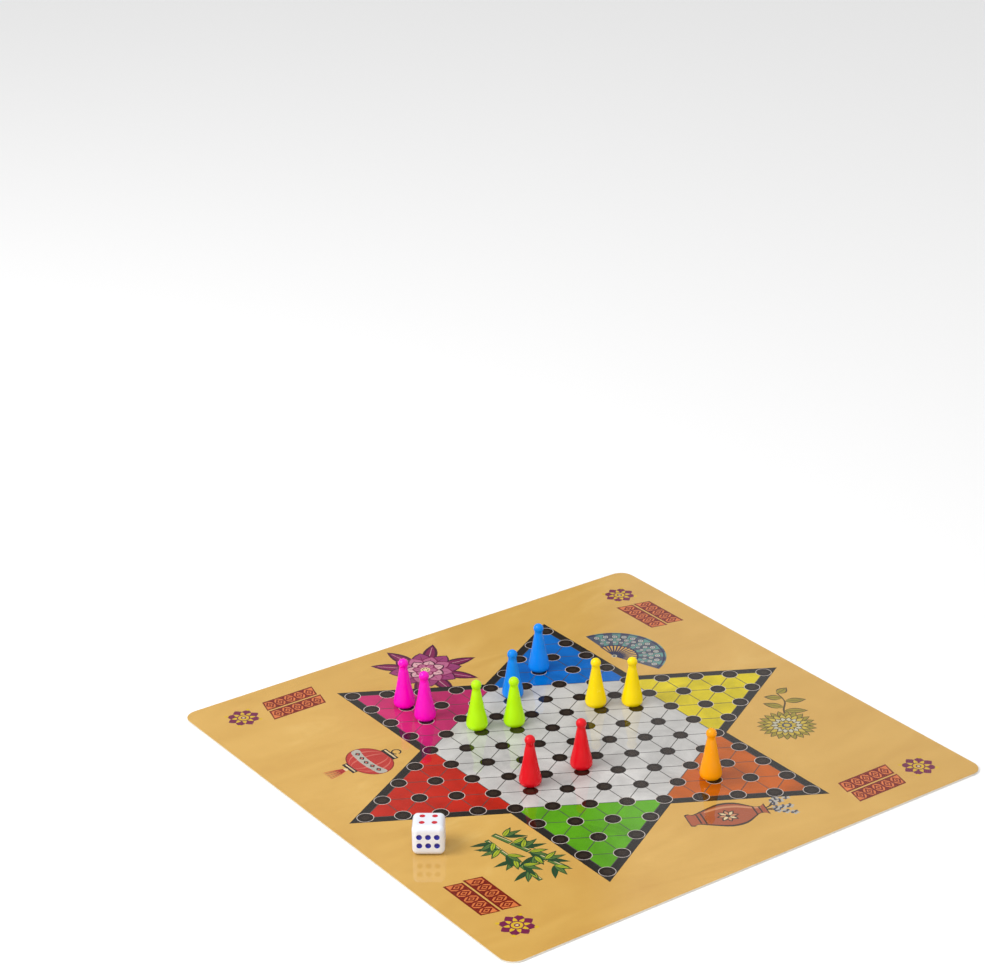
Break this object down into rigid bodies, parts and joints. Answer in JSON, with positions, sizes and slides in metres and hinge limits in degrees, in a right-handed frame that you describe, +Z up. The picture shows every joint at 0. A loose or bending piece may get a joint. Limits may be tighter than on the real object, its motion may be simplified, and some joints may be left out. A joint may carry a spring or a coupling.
{
  "type": "chinese checkers board",
  "caption": "Flat square laminated game board printed with a star-shaped field of linked playing spots, with coloured skittle-shaped pawns and a pipped die standing on it.",
  "frame": {"origin": "centre of the board's underside", "axes": "+Z up out of the printed face; X and Y along the board's edges, with the yellow point of the star towards +Y and the red point towards -Y"},
  "size_m": [0.3, 0.3, 0.0288],
  "materials": {
    "back_paper_sheet": "uncoated backing paper",
    "core_board": "cut edge of pale board",
    "face_print_sheet": "printed paper",
    "face_gloss_film": "clear gloss laminate",
    "pawn_magenta": "moulded gloss",
    "pawn_blue": "moulded gloss",
    "pawn_lime": "moulded gloss",
    "pawn_yellow": "moulded gloss",
    "pawn_red": "moulded gloss",
    "pawn_orange": "moulded gloss",
    "die_body": "polished",
    "die_pips_red": "gloss paint",
    "die_pips_blue": "gloss paint"
  },
  "bodies": {
    "board": {"back_paper_sheet": "back_paper_sheet", "core_board": "core_board", "face_print_sheet": "face_print_sheet", "face_gloss_film": "face_gloss_film"},
    "pawn_magenta_1": {"pawn_magenta_1": "pawn_magenta"},
    "pawn_magenta_2": {"pawn_magenta_2": "pawn_magenta"},
    "pawn_blue_1": {"pawn_blue_1": "pawn_blue"},
    "pawn_blue_2": {"pawn_blue_2": "pawn_blue"},
    "pawn_lime_1": {"pawn_lime_1": "pawn_lime"},
    "pawn_lime_2": {"pawn_lime_2": "pawn_lime"},
    "pawn_yellow_1": {"pawn_yellow_1": "pawn_yellow"},
    "pawn_yellow_2": {"pawn_yellow_2": "pawn_yellow"},
    "pawn_red_1": {"pawn_red_1": "pawn_red"},
    "pawn_red_2": {"pawn_red_2": "pawn_red"},
    "pawn_orange_1": {"pawn_orange_1": "pawn_orange"},
    "die": {"die_body": "die_body", "die_pips_red": "die_pips_red", "die_pips_blue": "die_pips_blue"}
  },
  "joints": [
    {"name": "lift_pawn_magenta_1", "type": "slide", "parent": "board", "child": "pawn_magenta_1", "axis": [0, 0, 1], "range_m": [0, 0.08]},
    {"name": "lift_pawn_magenta_2", "type": "slide", "parent": "board", "child": "pawn_magenta_2", "axis": [0, 0, 1], "range_m": [0, 0.08]},
    {"name": "lift_pawn_blue_1", "type": "slide", "parent": "board", "child": "pawn_blue_1", "axis": [0, 0, 1], "range_m": [0, 0.08]},
    {"name": "lift_pawn_blue_2", "type": "slide", "parent": "board", "child": "pawn_blue_2", "axis": [0, 0, 1], "range_m": [0, 0.08]},
    {"name": "lift_pawn_lime_1", "type": "slide", "parent": "board", "child": "pawn_lime_1", "axis": [0, 0, 1], "range_m": [0, 0.08]},
    {"name": "lift_pawn_lime_2", "type": "slide", "parent": "board", "child": "pawn_lime_2", "axis": [0, 0, 1], "range_m": [0, 0.08]},
    {"name": "lift_pawn_yellow_1", "type": "slide", "parent": "board", "child": "pawn_yellow_1", "axis": [0, 0, 1], "range_m": [0, 0.08]},
    {"name": "lift_pawn_yellow_2", "type": "slide", "parent": "board", "child": "pawn_yellow_2", "axis": [0, 0, 1], "range_m": [0, 0.08]},
    {"name": "lift_pawn_red_1", "type": "slide", "parent": "board", "child": "pawn_red_1", "axis": [0, 0, 1], "range_m": [0, 0.08]},
    {"name": "lift_pawn_red_2", "type": "slide", "parent": "board", "child": "pawn_red_2", "axis": [0, 0, 1], "range_m": [0, 0.08]},
    {"name": "lift_pawn_orange_1", "type": "slide", "parent": "board", "child": "pawn_orange_1", "axis": [0, 0, 1], "range_m": [0, 0.08]},
    {"name": "lift_die", "type": "slide", "parent": "board", "child": "die", "axis": [0, 0, 1], "range_m": [0, 0.08]}
  ]
}
